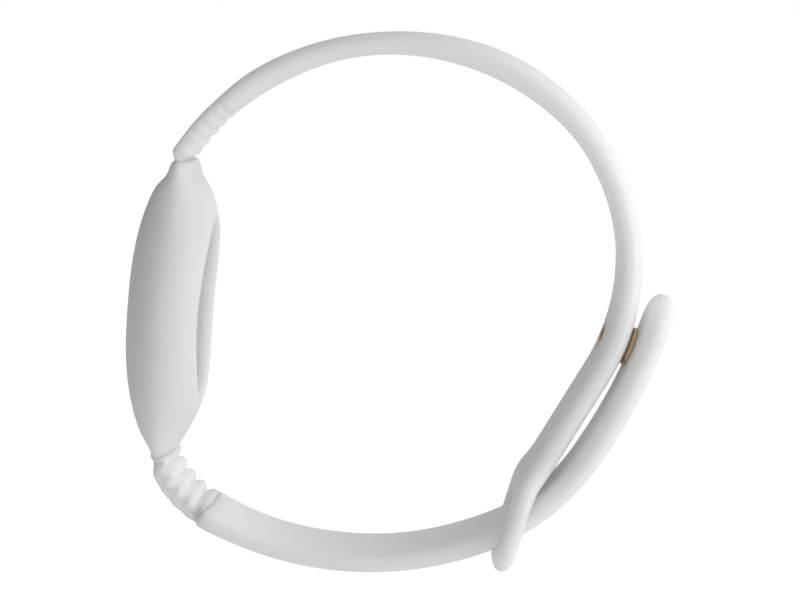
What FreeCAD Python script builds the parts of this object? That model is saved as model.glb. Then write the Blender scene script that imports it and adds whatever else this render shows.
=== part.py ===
import FreeCAD, Part
import math
import os
import Sketcher

# Moulded wrist band that closes through its own loop with a brass stud, and carries a
# discharge capsule in a pocket on the far side of the wrist.
# Millimetres.  +X from the pocket to the closure, +Y across the band, +Z up.
# The origin is the centre of the wrist opening, half way across the band.

V = FreeCAD.Vector
doc = FreeCAD.newDocument("WristStrap")

# ---------------------------------------------------------------- driving dimensions
DIMS = {
    # strap section and the two centreline chains, which start at the two necks
    "strap_width": 11.0,
    "strap_thick": 3.2,
    "upper_start_x": -27.81,
    "upper_start_z": 17.49,
    "upper_start_heading": 56.3,
    "crown_radius": 32.6,
    "upper_neck_turn": 13.8,
    "crown_turn": 63.0,
    "side_radius": 26.85,
    "side_turn": 68.6,
    "punched_turn": 31.4,
    "punched_thick": 3.4,
    "punched_run": 15.0,
    "lower_start_x": -30.38,
    "lower_start_z": -19.5,
    "lower_start_heading": -75.0,
    "lower_neck_radius": 12.7,
    "lower_neck_turn": 45.0,
    "belly_radius": 40.5,
    "belly_turn": 51.0,
    "slot_radius": 27.4,
    "slot_turn": 22.0,
    "slot_thick": 2.9,
    "bend_gap": 0.8,
    "bend_core_radius": 0.72,
    "tail_bend_turn": 9.6,
    "tail_radius": 70.5,
    "tail_turn": 14.0,
    "tail_thick": 3.1,
    # ribbed necks
    "neck_width": 9.6,
    "skin_thick": 0.7,
    "upper_skin_out": 1.35,
    "lower_skin_out": 1.9,
    "upper_rib_count": 4,
    "lower_rib_count": 5,
    "rib_height": 3.3,
    "rib_height_upper": 2.0,
    "rib_share": 0.72,
    # loop
    "shoulder_radius": 8.0,
    "shoulder_turn": 13.5,
    "loop_thick": 2.7,
    "loop_width": 16.4,
    "slot_width": 11.8,
    "slot_first": 0.5,
    "slot_length": 7.7,
    "loop_bar": 2.7,
    "loop_round": 0.6,
    "loop_flare": 1.4,
    "loop_corner": 4.0,
    "slot_corner": 1.3,
    # stud and its holes
    "stud_angle": -20.7,
    "hole_radius": 1.9,
    "hole_pitch": 7.0,
    "stud_post_radius": 1.55,
    "stud_neck_radius": 1.75,
    "stud_flange_radius": 2.45,
    "stud_flange_thick": 0.55,
    "stud_shank_radius": 0.9,
    "stud_proud": 0.35,
    "stud_seat": 0.08,
    "stud_collar_entry": 0.25,
    "stud_head_length": 0.7,
    "stud_waist_step": 0.3,
    "stud_nose_step": 0.5,
    "plate_radius": 2.3,
    "plate_thick": 0.5,
    "plate_depth": 1.2,
    "shank_room_length": 1.6,
    # pocket
    "pod_x": -28.6,
    "pod_z": -1.0,
    "pod_lean": 5.4,
    "pod_reach": 19.5,
    "pod_half_depth": 5.45,
    "pod_half_width": 8.5,
    "pod_end_half_width": 4.8,
    "pod_wall": 1.3,
    "pod_depth_taper": 2.6,
    "pod_depth_power": 0.75,
    "pod_width_power": 0.8,
    "window_half_width": 6.0,
    "window_half_length": 11.9,
    "lip_half_width": 6.85,
    "lip_half_length": 15.8,
    # capsule
    "case_half_length": 15.4,
    "case_half_width": 6.4,
    "tray_depth": 3.2,
    "cover_depth": 1.9,
    "case_wall": 0.8,
    "case_taper": 2.4,
    "case_power": 0.5,
    "case_split": -0.6,
    "gasket_thick": 0.3,
    "contact_hole_radius": 3.35,
    "contact_radius": 3.2,
    "contact_flange_radius": 4.0,
    "contact_flange_thick": 0.35,
    "contact_base": -0.25,
    "contact_top": 1.75,
    "contact_rise": 0.6,
    "board_top": -1.7,
    "board_thick": 0.7,
    "board_half_width": 3.6,
    "board_half_length": 9.8,
    "seat_radius": 2.7,
    "seat_thick": 0.15,
    "spring_radius": 2.0,
    "spring_wire": 0.26,
    "spring_turns": 2.5,
    "resistor_radius": 0.7,
    "resistor_length": 3.4,
    "resistor_at": -6.2,
    "needle_at": 6.6,
    "needle_pitch": 1.5,
    "needle_radius": 0.16,
    "needle_shank_length": 1.1,
    "needle_point_length": 0.5,
    "needle_tip_radius": 0.03,
    "needle_block_height": 0.8,
    "needle_block_width": 4.6,
    "needle_block_length": 1.8,
    "vent_radius": 0.45,
    "screw_at": 12.2,
    "screw_radius": 0.4,
    "screw_head_radius": 0.8,
    "screw_head_thick": 0.25,
    "screw_length": 1.5,
    "screw_head_sink": 0.1,
    "screw_bore_depth": 1.1,
    "boss_radius": 1.1,
    "boss_height": 1.45,
    # room left round pieces, and how far a through cut runs
    "snug_room": 0.02,
    "loose_room": 0.05,
    "cut_reach": 10.0,
}

sheet = doc.addObject("Spreadsheet::Sheet", "dims")
for row, (alias, value) in enumerate(DIMS.items(), start=1):
    sheet.set("A%d" % row, alias)
    sheet.set("B%d" % row, str(value))
    sheet.setAlias("B%d" % row, alias)
doc.recompute()


def dim(alias):
    """The sheet's value of one driving dimension."""
    return float(sheet.get(alias))


# ---------------------------------------------------------------- places
UPRIGHT = FreeCAD.Rotation(V(1, 0, 0), 90)


def polar(centre, radius, angle):
    """A point at an angle on a circle in the XZ plane, angles from +X towards +Z."""
    a = math.radians(angle)
    return V(centre.x + radius * math.cos(a), 0, centre.z + radius * math.sin(a))


def walkArc(point, heading, radius, turn):
    """Follow a tangent arc; a positive turn bends left.  Returns centre, start angle,
    new point and new heading."""
    side = 1 if turn > 0 else -1
    centre = polar(point, radius, heading + side * 90)
    start = heading - side * 90
    return centre, start, polar(centre, radius, start + turn), heading + turn


def onArc(centre, angle):
    """Local X points out from the arc's centre at this angle, local Z along -Y."""
    return FreeCAD.Placement(centre, UPRIGHT * FreeCAD.Rotation(V(0, 0, 1), angle))


def onLine(point, heading):
    """Local Z runs along the heading, local X to its right, local Y along +Y."""
    a = math.radians(heading)
    lean = math.degrees(math.atan2(math.cos(a), math.sin(a)))
    return FreeCAD.Placement(point, FreeCAD.Rotation(V(0, 1, 0), lean))


# ---------------------------------------------------------------- sketches and features
def originPlane(body, role):
    return [item for item in body.Origin.OriginFeatures if item.Role == role][0]


def newBody(label):
    body = doc.addObject("PartDesign::Body", label)
    body.Label = label
    return body


def newSketch(body, role, offset=0.0):
    """A sketch on one of the body's own origin planes, moved along its normal."""
    sketch = body.newObject("Sketcher::SketchObject", body.Name + "_sketch")
    sketch.AttachmentSupport = [(originPlane(body, role), "")]
    sketch.MapMode = "FlatFace"
    sketch.AttachmentOffset = FreeCAD.Placement(V(0, 0, offset), FreeCAD.Rotation())
    return sketch


def bind(sketch, kind, refs, value, expression):
    """Add one named dimension to a sketch and bind it to the sheet."""
    index = sketch.addConstraint(Sketcher.Constraint(kind, *refs, value))
    name = "size%d" % index
    sketch.renameConstraint(index, name)
    sketch.setExpression("Constraints." + name, expression)


def addEllipse(sketch, centreX, halfX, halfY):
    """An ellipse on the sketch's X axis.  Sizes are sheet expressions."""
    x = evaluate(centreX)
    across = evaluate(halfX)
    along = evaluate(halfY)
    upright = along > across
    major = V(x, along, 0) if upright else V(x + across, 0, 0)
    minor = V(x + across, 0, 0) if upright else V(x, along, 0)
    curve = sketch.addGeometry(Part.Ellipse(major, minor, V(x, 0, 0)), False)
    sketch.exposeInternalGeometry(curve)
    longAxis = curve + 1
    shortAxis = curve + 2
    sketch.addConstraint(Sketcher.Constraint("Vertical" if upright else "Horizontal", longAxis))
    bind(sketch, "Distance", (longAxis,), 2 * max(along, across),
         "2 * (%s)" % (halfY if upright else halfX))
    bind(sketch, "Distance", (shortAxis,), 2 * min(along, across),
         "2 * (%s)" % (halfX if upright else halfY))
    bind(sketch, "DistanceX", (-1, 1, curve, 3), x, centreX)
    sketch.addConstraint(Sketcher.Constraint("PointOnObject", curve, 3, -1))


def addCircle(sketch, x, y, radius):
    curve = sketch.addGeometry(Part.Circle(V(x, y, 0), V(0, 0, 1), evaluate(radius)), False)
    sketch.addConstraint(Sketcher.Constraint("Block", curve))
    return curve


def addPolygon(sketch, corners):
    """A closed outline through corners given as (x, y) numbers."""
    points = [V(x, y, 0) for x, y in corners]
    for here, after in zip(points, points[1:] + points[:1]):
        sketch.addGeometry(Part.LineSegment(here, after), False)


def addRectangle(sketch, low, high, halfHeight):
    """A rectangle from low to high along X, centred on the X axis.  Sheet expressions."""
    x0 = evaluate(low)
    x1 = evaluate(high)
    half = evaluate(halfHeight)
    corners = [(x0, -half), (x1, -half), (x1, half), (x0, half)]
    first = sketch.GeometryCount
    addPolygon(sketch, corners)
    for side in range(4):
        after = first + (side + 1) % 4
        sketch.addConstraint(Sketcher.Constraint("Coincident", first + side, 2, after, 1))
    sketch.addConstraint(Sketcher.Constraint("Horizontal", first))
    sketch.addConstraint(Sketcher.Constraint("Horizontal", first + 2))
    sketch.addConstraint(Sketcher.Constraint("Vertical", first + 3))
    sketch.addConstraint(Sketcher.Constraint("Symmetric", first + 1, 1, first + 1, 2, -1))
    bind(sketch, "DistanceX", (-1, 1, first, 1), x0, low)
    bind(sketch, "DistanceX", (-1, 1, first, 2), x1, high)
    bind(sketch, "DistanceY", (first + 1, 1, first + 1, 2), 2 * half, "2 * (%s)" % halfHeight)


def evaluate(expression):
    """The number a sheet expression stands for."""
    return float(sheet.evalExpression(expression))


def revolve(body, sketch, angleExpression):
    feature = body.newObject("PartDesign::Revolution", body.Name + "_turn")
    feature.Profile = sketch
    feature.ReferenceAxis = (sketch, ["V_Axis"])
    feature.setExpression("Angle", angleExpression)
    return feature


def pad(body, sketch, lengthExpression, reverse=False, kind="Pad"):
    feature = body.newObject("PartDesign::" + kind, body.Name + "_" + kind.lower())
    feature.Profile = sketch
    feature.Reversed = reverse
    feature.setExpression("Length", lengthExpression)
    return feature


def loft(body, stations, kind="AdditiveLoft"):
    """A loft through ellipses; each station is (place along Z, centre x, half x, half y)."""
    sketches = []
    for place, centreX, halfX, halfY in stations:
        sketch = newSketch(body, "XY_Plane")
        sketch.setExpression("AttachmentOffset.Base.z", place)
        addEllipse(sketch, centreX, halfX, halfY)
        sketches.append(sketch)
    feature = body.newObject("PartDesign::" + kind, body.Name + "_loft")
    feature.Profile = sketches[0]
    feature.Sections = sketches[1:]
    return feature


def boolean(kind, label, base, tool):
    feature = doc.addObject("Part::" + kind, label)
    feature.Label = label
    feature.Base = base
    feature.Tool = tool
    return feature


def fuse(label, shapes):
    feature = doc.addObject("Part::MultiFuse", label)
    feature.Label = label
    feature.Shapes = shapes
    return feature


def cylinder(label, radius, height, placement):
    feature = doc.addObject("Part::Cylinder", label)
    feature.Label = label
    feature.setExpression("Radius", radius)
    feature.setExpression("Height", height)
    feature.Placement = placement
    return feature


# ---------------------------------------------------------------- straps
def strapArc(label, centre, angle, radius, turn, thick):
    """One bent length of strap: an oval section turned about the arc's centre."""
    body = newBody(label)
    section = newSketch(body, "XZ_Plane")
    addEllipse(section, radius, thick + " / 2", "dims.strap_width / 2")
    revolve(body, section, turn)
    body.Placement = onArc(centre, angle)
    return body


def ribbedNeck(label, centre, angle, outer, ribHeight, turn, count):
    """A thin outer skin with ribs standing inwards from it, so that the neck can bend."""
    body = newBody(label)
    skin = newSketch(body, "XZ_Plane")
    addRectangle(skin, "%s - dims.skin_thick" % outer, outer, "dims.neck_width / 2")
    revolve(body, skin, turn)
    rib = newSketch(body, "XZ_Plane")
    root = "%s - dims.skin_thick" % outer
    addRectangle(rib, "%s - %s" % (root, ribHeight), root, "dims.neck_width / 2")
    first = revolve(body, rib, "%s / %d * dims.rib_share" % (turn, count))
    row = body.newObject("PartDesign::PolarPattern", body.Name + "_row")
    row.Originals = [first]
    row.Axis = (originPlane(body, "Z_Axis"), [""])
    row.setExpression("Angle", "%s * %d / %d" % (turn, count - 1, count))
    row.Occurrences = count
    body.Tip = row
    body.Placement = onArc(centre, angle)
    return body


# ---------------------------------------------------------------- upper half of the band
def buildUpperBand(podBlank):
    """Neck, crown, side, punched strap and loop, each tangent to the one before."""
    nodes = []
    point = V(dim("upper_start_x"), 0, dim("upper_start_z"))
    heading = dim("upper_start_heading")

    centre, angle, point, heading = walkArc(
        point, heading, dim("crown_radius"), -dim("upper_neck_turn"))
    neck = ribbedNeck(
        "upper_neck_blank", centre, angle - dim("upper_neck_turn"),
        "(dims.crown_radius + dims.upper_skin_out)", "dims.rib_height_upper",
        "dims.upper_neck_turn", int(dim("upper_rib_count")))
    nodes.append(boolean("Cut", "upper_neck", neck, podBlank))

    centre, angle, point, heading = walkArc(
        point, heading, dim("crown_radius"), -dim("crown_turn"))
    nodes.append(strapArc("crown_strap", centre, angle - dim("crown_turn"),
                          "dims.crown_radius", "dims.crown_turn", "dims.strap_thick"))

    centre, angle, point, heading = walkArc(
        point, heading, dim("side_radius"), -dim("side_turn"))
    nodes.append(strapArc("side_strap", centre, angle - dim("side_turn"),
                          "dims.side_radius", "dims.side_turn", "dims.strap_thick"))

    centre, angle, point, heading = walkArc(
        point, heading, dim("side_radius"), -dim("punched_turn"))
    blank = strapArc("punched_arc_blank", centre, angle - dim("punched_turn"),
                     "dims.side_radius", "dims.punched_turn", "dims.punched_thick")
    pitchAngle = math.degrees(dim("hole_pitch") / dim("side_radius"))
    holes = [radialPlace(centre, dim("stud_angle") + pitchAngle * step) for step in (0, 1)]
    nodes.append(boolean("Cut", "punched_strap", blank, holeTools("stud_holes", holes)))

    run = newBody("straight_strap")
    section = newSketch(run, "XY_Plane")
    addEllipse(section, "0", "dims.punched_thick / 2", "dims.strap_width / 2")
    pad(run, section, "dims.punched_run")
    run.Placement = onLine(point, heading)
    nodes.append(run)

    point = polar(point, dim("punched_run"), heading)
    nodes.append(buildLoop(point, heading))
    return nodes, centre


def radialPlace(centre, angle):
    """A hole's axis along the radius of the bent strap, from inside to outside."""
    return FreeCAD.Placement(polar(centre, dim("side_radius") - dim("punched_thick"), angle),
                             FreeCAD.Rotation(V(0, 1, 0), 90 - angle))


def holeTools(label, places):
    tools = [cylinder("%s_%d" % (label, i), "dims.hole_radius", "2 * dims.punched_thick", place)
             for i, place in enumerate(places)]
    return fuse(label, tools)


def addRounded(sketch, corners, radii):
    """A closed outline through corners, each rounded by an arc of its own radius."""
    count = len(corners)
    points = [V(x, y, 0) for x, y in corners]
    tangents = []
    for i, radius in enumerate(radii):
        here = points[i]
        back = (points[i - 1] - here).normalize()
        ahead = (points[(i + 1) % count] - here).normalize()
        half = back.getAngle(ahead) / 2
        bisector = (back + ahead).normalize()
        centre = here + bisector * (radius / math.sin(half))
        first = here + back * (radius / math.tan(half))
        last = here + ahead * (radius / math.tan(half))
        sketch.addGeometry(Part.Arc(first, centre - bisector * radius, last), False)
        tangents.append((first, last))
    for here, after in zip(tangents, tangents[1:] + tangents[:1]):
        sketch.addGeometry(Part.LineSegment(here[1], after[0]), False)


def roundFaceEdges(body, feature, height, radius):
    """Round every edge that lies on the two faces at plus and minus a height along X."""
    doc.recompute()
    near = 1e-4
    names = []
    for index, edge in enumerate(feature.Shape.Edges, start=1):
        places = [abs(abs(vertex.X) - height) for vertex in edge.Vertexes]
        middle = edge.valueAt((edge.FirstParameter + edge.LastParameter) / 2)
        if max(places) < near and abs(abs(middle.x) - height) < near:
            names.append("Edge%d" % index)
    fillet = body.newObject("PartDesign::Fillet", body.Name + "_round")
    fillet.Base = (feature, names)
    fillet.setExpression("Radius", radius)


def buildLoop(point, heading):
    """A bent shoulder and a flat ring whose slot lets the other strap through."""
    centre, angle, point, heading = walkArc(
        point, heading, dim("shoulder_radius"), dim("shoulder_turn"))
    shoulder = strapArc("loop_shoulder", centre, angle, "dims.shoulder_radius",
                        "dims.shoulder_turn", "dims.loop_thick")
    ring = newBody("loop_ring")
    first = dim("slot_first")
    last = first + dim("slot_length")
    length = last + dim("loop_bar")
    half = dim("loop_width") / 2
    root = dim("strap_width") / 2
    outline = newSketch(ring, "YZ_Plane", -dim("loop_thick") / 2)
    flare = dim("loop_flare")
    corner = dim("loop_corner")
    addRounded(outline, [(-root, -flare), (root, -flare), (half, flare), (half, length),
                         (-half, length), (-half, flare)],
               [flare, flare, flare, corner, corner, flare])
    pad(ring, outline, "dims.loop_thick")
    slot = newSketch(ring, "YZ_Plane", -dim("loop_thick"))
    y = dim("slot_width") / 2
    nip = dim("slot_corner")
    addRounded(slot, [(-y, first), (y, first), (y, last), (-y, last)], [nip] * 4)
    opening = pad(ring, slot, "3 * dims.loop_thick", kind="Pocket", reverse=True)
    roundFaceEdges(ring, opening, dim("loop_thick") / 2, "dims.loop_round")
    ring.Placement = onLine(point, heading)
    return fuse("keeper_loop", [shoulder, ring])


# ---------------------------------------------------------------- lower half of the band
def buildLowerBand(podBlank):
    """Neck, belly and slot strap up to the bend; then the free tail beyond it."""
    nodes = []
    point = V(dim("lower_start_x"), 0, dim("lower_start_z"))
    heading = dim("lower_start_heading")

    centre, angle, point, heading = walkArc(
        point, heading, dim("lower_neck_radius"), dim("lower_neck_turn"))
    neck = ribbedNeck(
        "lower_neck_blank", centre, angle, "(dims.lower_neck_radius + dims.lower_skin_out)",
        "dims.rib_height", "dims.lower_neck_turn", int(dim("lower_rib_count")))
    nodes.append(boolean("Cut", "lower_neck", neck, podBlank))

    centre, angle, point, heading = walkArc(
        point, heading, dim("belly_radius"), dim("belly_turn"))
    nodes.append(strapArc("belly_strap", centre, angle, "dims.belly_radius",
                          "dims.belly_turn", "dims.strap_thick"))

    centre, angle, point, heading = walkArc(
        point, heading, dim("slot_radius"), dim("slot_turn"))
    nodes.append(strapArc("slot_strap", centre, angle, "dims.slot_radius",
                          "dims.slot_turn", "dims.slot_thick"))

    gapTurn = math.degrees(dim("bend_gap") / dim("slot_radius"))
    bend = polar(centre, dim("slot_radius"), angle + dim("slot_turn") + gapTurn)
    core = cylinder("tail_bend", "dims.bend_core_radius", "dims.neck_width",
                    FreeCAD.Placement(bend + V(0, dim("neck_width") / 2, 0), UPRIGHT))
    nodes.append(core)

    tailAngle = angle + dim("slot_turn") + 2 * gapTurn
    first = strapArc("tail_bend_length", centre, tailAngle, "dims.slot_radius",
                     "dims.tail_bend_turn", "dims.tail_thick")
    end = polar(centre, dim("slot_radius"), tailAngle + dim("tail_bend_turn"))
    heading = tailAngle + dim("tail_bend_turn") + 90
    centre, angle, end, heading = walkArc(end, heading, dim("tail_radius"), dim("tail_turn"))
    second = strapArc("tail_long_length", centre, angle, "dims.tail_radius",
                      "dims.tail_turn", "dims.tail_thick")
    tip = doc.addObject("Part::Ellipsoid", "tail_tip")
    tip.setExpression("Radius1", "dims.strap_width / 2")
    tip.setExpression("Radius2", "dims.tail_thick / 2")
    tip.setExpression("Radius3", "dims.strap_width / 2")
    tip.Placement = onLine(end, heading)
    blank = fuse("tail_blank", [first, second, tip])
    return nodes, blank, centre


# ---------------------------------------------------------------- stud
def rayToCircle(start, angle, centre, radius):
    """How far along a ray from start it meets a circle around centre."""
    ray = V(math.cos(math.radians(angle)), 0, math.sin(math.radians(angle)))
    offset = start - centre
    half = offset.dot(ray)
    return -half + math.sqrt(half * half - offset.dot(offset) + radius * radius)


def buildStud(sideCentre, tailCentre, tailBlank):
    """Brass stud, the plate it is riveted to inside the tail, and the tail around them."""
    angle = dim("stud_angle")
    face = rayToCircle(sideCentre, angle, tailCentre, dim("tail_radius") - dim("tail_thick") / 2)
    inner = dim("side_radius") - dim("punched_thick") / 2
    reach = face - inner + dim("stud_proud")
    seat = dim("stud_seat")
    flange = seat + dim("stud_flange_thick")
    strapFace = dim("side_radius") + dim("punched_thick") / 2
    collar = face - strapFace + dim("stud_collar_entry")
    plateTop = -dim("plate_depth")
    head = dim("stud_head_length")
    step = dim("stud_waist_step")
    shank = dim("stud_shank_radius")
    rim = dim("stud_flange_radius")
    neck = dim("stud_neck_radius")
    inward = FreeCAD.Placement(polar(sideCentre, face, angle),
                               FreeCAD.Rotation(V(0, 1, 0), 90 - angle - 180))

    stud = newBody("closure_stud")
    profile = newSketch(stud, "XZ_Plane")
    post = dim("stud_post_radius")
    waist = post - step
    nose = post - dim("stud_nose_step")
    addPolygon(profile, [
        (0, plateTop), (shank, plateTop), (shank, seat), (rim, seat), (rim, flange),
        (neck, flange), (neck, collar), (waist, collar + step), (waist, reach - 2 * head),
        (post, reach - head), (nose, reach), (0, reach)])
    revolve(stud, profile, "360")
    stud.Placement = inward

    plate = newBody("stud_plate")
    ring = newSketch(plate, "XY_Plane", plateTop)
    addCircle(ring, 0, 0, "dims.plate_radius")
    addCircle(ring, 0, 0, "dims.stud_shank_radius + dims.snug_room")
    pad(plate, ring, "dims.plate_thick")
    plate.Placement = inward

    deep = inward.multiply(FreeCAD.Placement(V(0, 0, plateTop), FreeCAD.Rotation()))
    room = cylinder("plate_room", "dims.plate_radius", "dims.plate_thick", deep)
    bore = cylinder("shank_room", "dims.stud_shank_radius + dims.snug_room",
                    "dims.shank_room_length", deep)
    tail = boolean("Cut", "strap_tail", tailBlank, fuse("stud_room", [room, bore]))
    return [tail, stud, plate]


# ---------------------------------------------------------------- pocket
POD_FRACTIONS = (-0.943, -0.87, -0.74, -0.5, -0.25, 0, 0.25, 0.5, 0.74, 0.87, 0.943)
CAVITY_FRACTIONS = (-0.83, -0.7, -0.5, -0.25, 0, 0.25, 0.5, 0.7, 0.83)


def podStation(fraction, wall):
    """Pod section: depth and width fall off towards the necks along smooth curves."""
    fall = (1 - abs(fraction) ** dim("pod_depth_taper")) ** dim("pod_depth_power")
    depth = "dims.pod_half_depth * %.6f" % fall
    swell = (1 - fraction * fraction) ** dim("pod_width_power")
    width = ("dims.pod_end_half_width + (dims.pod_half_width - dims.pod_end_half_width) * %.6f"
             % swell)
    return ("dims.pod_reach * %.3f" % fraction, "0",
            "%s - %s" % (depth, wall), "%s - %s" % (width, wall))


def windowTool(label, halfWidth, halfLength, placement):
    """An oval plug through the wrist side of the pod only."""
    body = newBody(label)
    sketch = newSketch(body, "YZ_Plane")
    addEllipse(sketch, "0", halfWidth, halfLength)
    pad(body, sketch, "dims.cut_reach")
    body.Placement = placement
    return body


def buildPodBlank(placement):
    """The hollow pod before its window is cut."""
    blank = newBody("pod_blank")
    loft(blank, [podStation(f, "0") for f in POD_FRACTIONS])
    loft(blank, [podStation(f, "dims.pod_wall") for f in CAVITY_FRACTIONS], "SubtractiveLoft")
    blank.Placement = placement
    return blank


def buildPod(blank, placement):
    """Hollow pod with an oval window on the wrist side, edged by a soft lip."""
    wide = windowTool("lip_outline", "dims.lip_half_width", "dims.lip_half_length", placement)
    window = windowTool("window_outline", "dims.window_half_width",
                        "dims.window_half_length", placement)
    sleeve = boolean("Cut", "pod_sleeve", blank, wide)
    ring = boolean("Common", "lip_blank", blank, wide)
    lip = boolean("Cut", "pocket_lip", ring, window)
    return [sleeve, lip]


# ---------------------------------------------------------------- capsule
CASE_FRACTIONS = (-0.99, -0.94, -0.82, -0.62, -0.35, 0, 0.35, 0.62, 0.82, 0.94, 0.99)
ROOM_FRACTIONS = (-0.9, -0.82, -0.62, -0.35, 0, 0.35, 0.62, 0.82, 0.9)


def caseSwell(fraction):
    """How wide and deep the seed shape is, as a share of its middle."""
    return (1 - abs(fraction) ** dim("case_taper")) ** dim("case_power")


def caseStation(fraction, depth, wall):
    """Capsule section: a seed shape, the same in depth and width."""
    swell = caseSwell(fraction)
    return ("dims.case_half_length * %.3f" % fraction, "dims.case_split",
            "%s * %.6f - %s" % (depth, swell, wall),
            "dims.case_half_width * %.6f - %s" % (swell, wall))


def caseShell(label, depth, below, above):
    """Part of the capsule's hollow seed shape, kept between two heights along X."""
    body = newBody(label)
    loft(body, [caseStation(f, depth, "0") for f in CASE_FRACTIONS])
    loft(body, [caseStation(f, depth, "dims.case_wall") for f in ROOM_FRACTIONS],
         "SubtractiveLoft")
    if below is not None:
        trim(body, below, True)
    if above is not None:
        trim(body, above, False)
    return body


def trim(body, height, underneath):
    """Cut away all that lies on one side of a height along X."""
    sketch = newSketch(body, "YZ_Plane", height)
    half = dim("case_half_length") + 1
    addPolygon(sketch, [(-half, -half), (half, -half), (half, half), (-half, half)])
    pad(body, sketch, "dims.cut_reach", kind="Pocket", reverse=not underneath)


def drill(body, height, circles, lengthExpression, upwards):
    """Cut round holes along X, from a height; each circle is (y, z, radius)."""
    sketch = newSketch(body, "YZ_Plane", height)
    for y, z, radius in circles:
        addCircle(sketch, y, z, radius)
    pad(body, sketch, lengthExpression, kind="Pocket", reverse=upwards)


def buildCase(placement):
    """Tray, gasket and cover of the capsule, and the screws through their ends."""
    split = dim("case_split")
    seam = dim("gasket_thick") / 2
    ends = (-dim("screw_at"), dim("screw_at"))

    tray = caseShell("capsule_tray", "dims.tray_depth", None, split - seam)
    bosses = newSketch(tray, "YZ_Plane", split - seam)
    for z in ends:
        addCircle(bosses, 0, z, "dims.boss_radius")
    pad(tray, bosses, "dims.boss_height", reverse=True)
    bores = [(0, z, "dims.screw_radius + dims.snug_room") for z in ends]
    drill(tray, split - seam, bores, "dims.screw_bore_depth", False)

    gasket = caseShell("case_gasket", "dims.tray_depth", split - seam, split + seam)

    cover = caseShell("capsule_cover", "dims.cover_depth", split + seam, None)
    vents = [(dim("needle_pitch") * i, dim("needle_at"), "dims.vent_radius") for i in (-1, 0, 1)]
    shanks = [(0, z, "dims.screw_radius + dims.loose_room") for z in ends]
    centreHole = [(0, 0, "dims.contact_hole_radius")]
    drill(cover, split, centreHole + vents + shanks, "dims.cut_reach", True)
    heads = [(0, z, "dims.screw_head_radius + dims.loose_room") for z in ends]
    drill(cover, screwHeadBase(), heads, "dims.cut_reach", True)

    for body in (tray, gasket, cover):
        body.Placement = placement
    return [tray, gasket, cover, buildScrews(placement, ends)]


def screwHeadBase():
    """Height of the seat that a screw's head rests on."""
    face = dim("case_split") + dim("cover_depth") * caseSwell(dim("screw_at") / dim("case_half_length"))
    return face - dim("screw_head_thick") - dim("screw_head_sink")


def buildScrews(placement, ends):
    """The two screws that hold the cover on the tray, as one group."""
    base = screwHeadBase()
    outwards = FreeCAD.Rotation(V(0, 1, 0), 90)
    solids = []
    for index, z in enumerate(ends):
        spot = placement.multiply(FreeCAD.Placement(V(base, 0, z), outwards))
        head = cylinder("screw_head_%d" % index, "dims.screw_head_radius",
                        "dims.screw_head_thick", spot)
        back = spot.multiply(FreeCAD.Placement(V(0, 0, -dim("screw_length")), FreeCAD.Rotation()))
        shank = cylinder("screw_shank_%d" % index, "dims.screw_radius",
                         "dims.screw_length + dims.screw_head_sink", back)
        solids.append(fuse("screw_%d" % index, [head, shank]))
    group = doc.addObject("Part::Compound", "case_screws")
    group.Label = "case_screws"
    group.Links = solids
    return group


def buildElectrics(placement):
    """Board with its spring seat, resistor and needles; the spring and the skin contact."""
    top = dim("board_top")
    board = newBody("circuit_board")
    outline = newSketch(board, "YZ_Plane", top)
    addEllipse(outline, "0", "dims.board_half_width", "dims.board_half_length")
    pad(board, outline, "dims.board_thick", reverse=True)

    seat = newBody("spring_seat")
    disc = newSketch(seat, "YZ_Plane", top)
    addCircle(disc, 0, 0, "dims.seat_radius")
    pad(seat, disc, "dims.seat_thick")

    contact = newBody("skin_contact")
    half = newSketch(contact, "XZ_Plane")
    base = dim("contact_base")
    flange = base + dim("contact_flange_thick")
    crown = dim("contact_top")
    rim = dim("contact_radius")
    rise = dim("contact_rise")
    ball = (rim * rim + rise * rise) / (2 * rise)
    halfTurn = math.asin(rim / ball) / 2
    bulge = V(ball * math.sin(halfTurn), crown - ball * (1 - math.cos(halfTurn)), 0)
    outline = [V(0, base, 0), V(dim("contact_flange_radius"), base, 0),
               V(dim("contact_flange_radius"), flange, 0), V(rim, flange, 0), V(rim, crown - rise, 0)]
    for here, after in zip(outline, outline[1:]):
        half.addGeometry(Part.LineSegment(here, after), False)
    half.addGeometry(Part.Arc(outline[-1], bulge, V(0, crown, 0)), False)
    half.addGeometry(Part.LineSegment(V(0, crown, 0), outline[0]), False)
    revolve(contact, half, "360")

    turned = placement.multiply(
        FreeCAD.Placement(V(0, 0, 0), FreeCAD.Rotation(V(0, 1, 0), 90)))
    for body in (board, seat):
        body.Placement = placement
    contact.Placement = turned

    return [board, seat, contact, buildSpring(turned), buildResistor(placement),
            *buildNeedles(placement)]


def buildSpring(turned):
    """Coil spring between the seat and the contact's underside."""
    wire = dim("spring_wire") / 2
    low = dim("board_top") + dim("seat_thick") + wire
    rise = dim("contact_base") - wire - low
    body = newBody("contact_spring")
    sketch = newSketch(body, "XZ_Plane")
    addCircle(sketch, dim("spring_radius"), low, "dims.spring_wire / 2 - dims.snug_room / 2")
    coil = body.newObject("PartDesign::AdditiveHelix", "spring_coil")
    coil.Profile = sketch
    coil.ReferenceAxis = (sketch, ["V_Axis"])
    coil.Mode = "height-turns-angle"
    coil.Height = rise
    coil.setExpression("Turns", "dims.spring_turns")
    body.Placement = turned
    return body


def buildResistor(placement):
    """Cylindrical resistor lying across the board."""
    height = dim("board_top") + dim("resistor_radius")
    start = placement.multiply(FreeCAD.Placement(
        V(height, dim("resistor_length") / 2, dim("resistor_at")),
        FreeCAD.Rotation(V(1, 0, 0), 90)))
    return cylinder("limiting_resistor", "dims.resistor_radius", "dims.resistor_length", start)


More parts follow.
